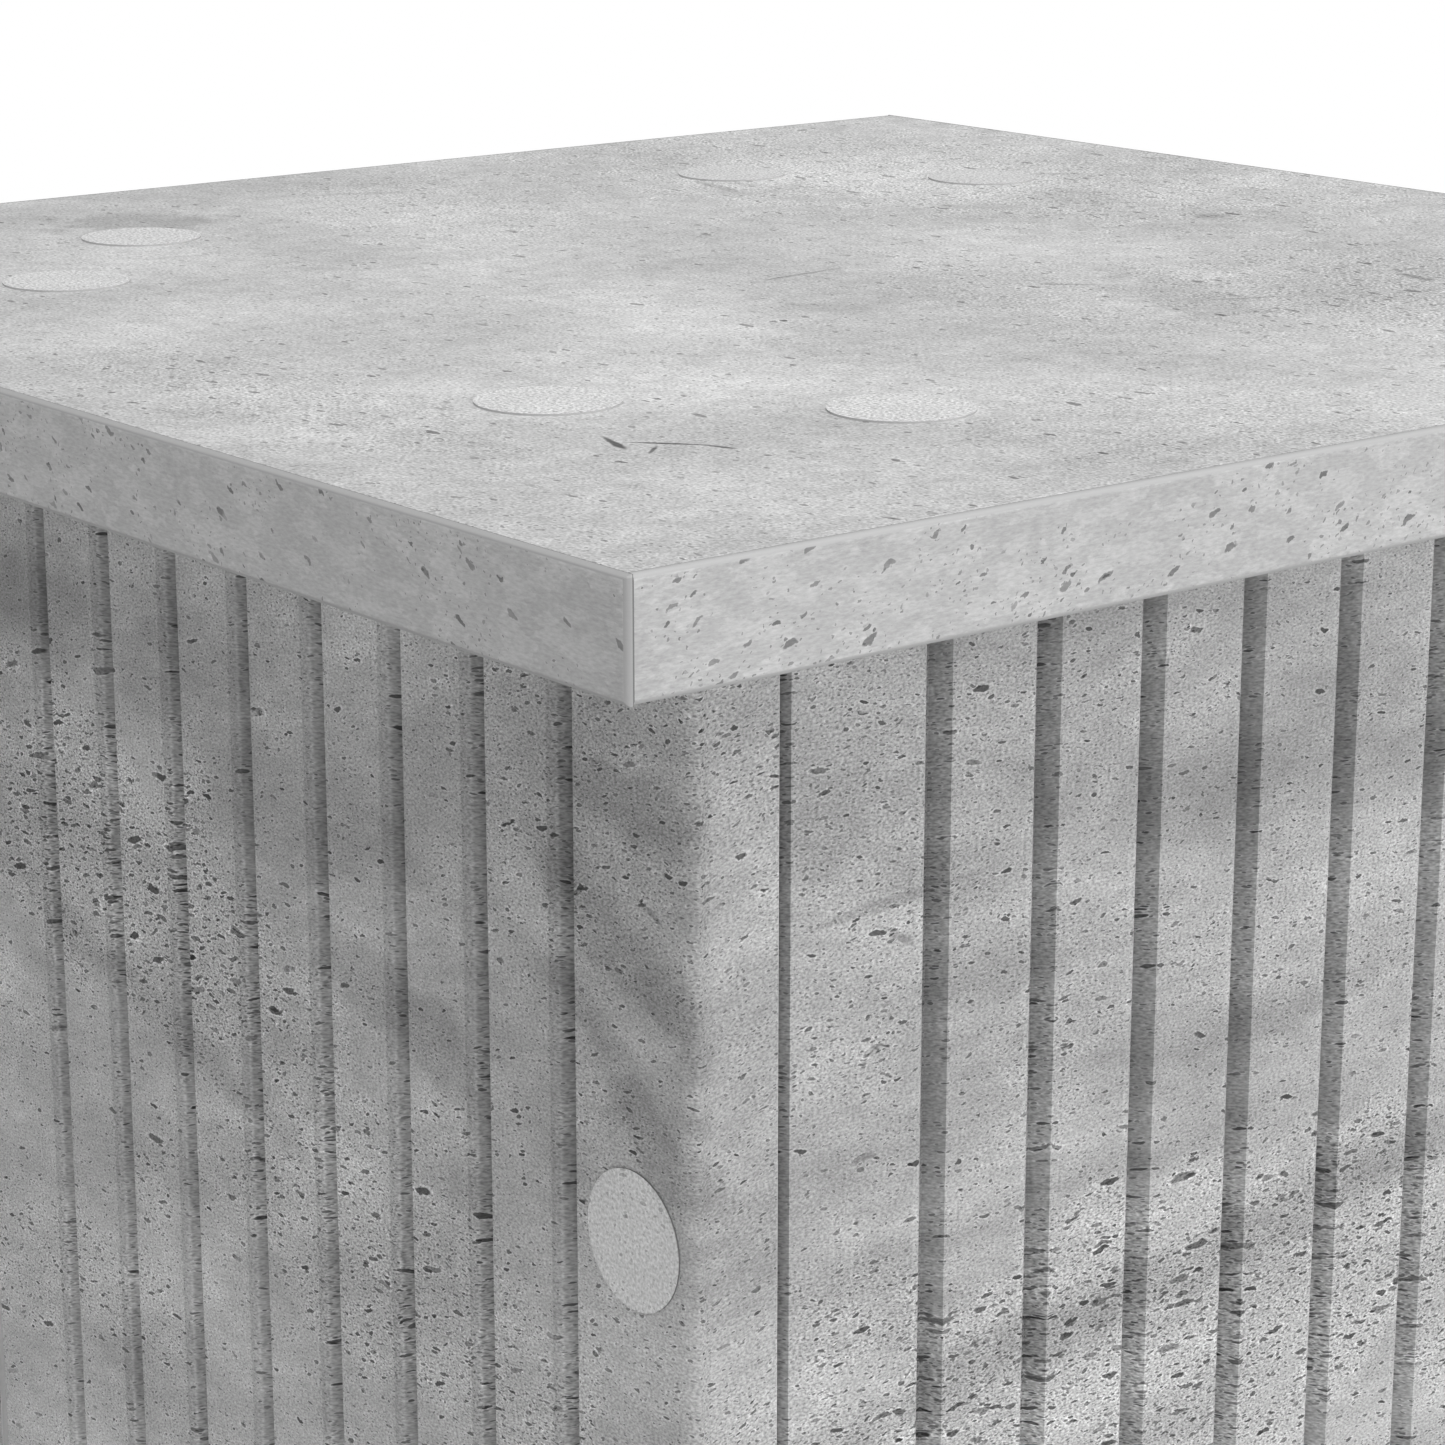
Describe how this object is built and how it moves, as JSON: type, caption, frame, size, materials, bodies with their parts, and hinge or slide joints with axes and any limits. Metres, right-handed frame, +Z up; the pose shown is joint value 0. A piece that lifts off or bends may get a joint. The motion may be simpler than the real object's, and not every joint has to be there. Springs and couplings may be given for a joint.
{
  "type": "side table",
  "caption": "Square pedestal side table in concrete-look decor board: an overhanging top on a hollow square base of vertically fluted panels, with round screw-cover stickers.",
  "frame": {"origin": "centre of the square base's footprint, on the floor under the glides", "axes": "+Z up, -Y the front, +X the right-hand side; the base's panels run round it in a pinwheel"},
  "size_m": [0.3, 0.3, 0.5003],
  "materials": {
    "concrete_decor_top": "matte",
    "concrete_decor_band": "matte",
    "concrete_decor_panel": "matte",
    "cover_sticker": "matte",
    "zinc_screw": "satin",
    "beech_dowel": "matte",
    "glide_plastic": "satin"
  },
  "bodies": {
    "root": {"back_edge_band": "concrete_decor_band", "back_left_dowels": "beech_dowel", "back_left_glide": "glide_plastic", "back_left_glide_nail": "zinc_screw", "back_left_screws": "zinc_screw", "back_left_stickers": "cover_sticker", "back_panel": "concrete_decor_panel", "back_right_dowels": "beech_dowel", "back_right_glide": "glide_plastic", "back_right_glide_nail": "zinc_screw", "back_right_screws": "zinc_screw", "back_right_stickers": "cover_sticker", "back_top_screws": "zinc_screw", "back_top_stickers": "cover_sticker", "front_edge_band": "concrete_decor_band", "front_left_dowels": "beech_dowel", "front_left_glide": "glide_plastic", "front_left_glide_nail": "zinc_screw", "front_left_screws": "zinc_screw", "front_left_stickers": "cover_sticker", "front_panel": "concrete_decor_panel", "front_right_dowels": "beech_dowel", "front_right_glide": "glide_plastic", "front_right_glide_nail": "zinc_screw", "front_right_screws": "zinc_screw", "front_right_stickers": "cover_sticker", "front_top_screws": "zinc_screw", "front_top_stickers": "cover_sticker", "left_edge_band": "concrete_decor_band", "left_panel": "concrete_decor_panel", "left_top_screws": "zinc_screw", "left_top_stickers": "cover_sticker", "right_edge_band": "concrete_decor_band", "right_panel": "concrete_decor_panel", "right_top_screws": "zinc_screw", "right_top_stickers": "cover_sticker", "top_board": "concrete_decor_top"}
  },
  "joints": []
}
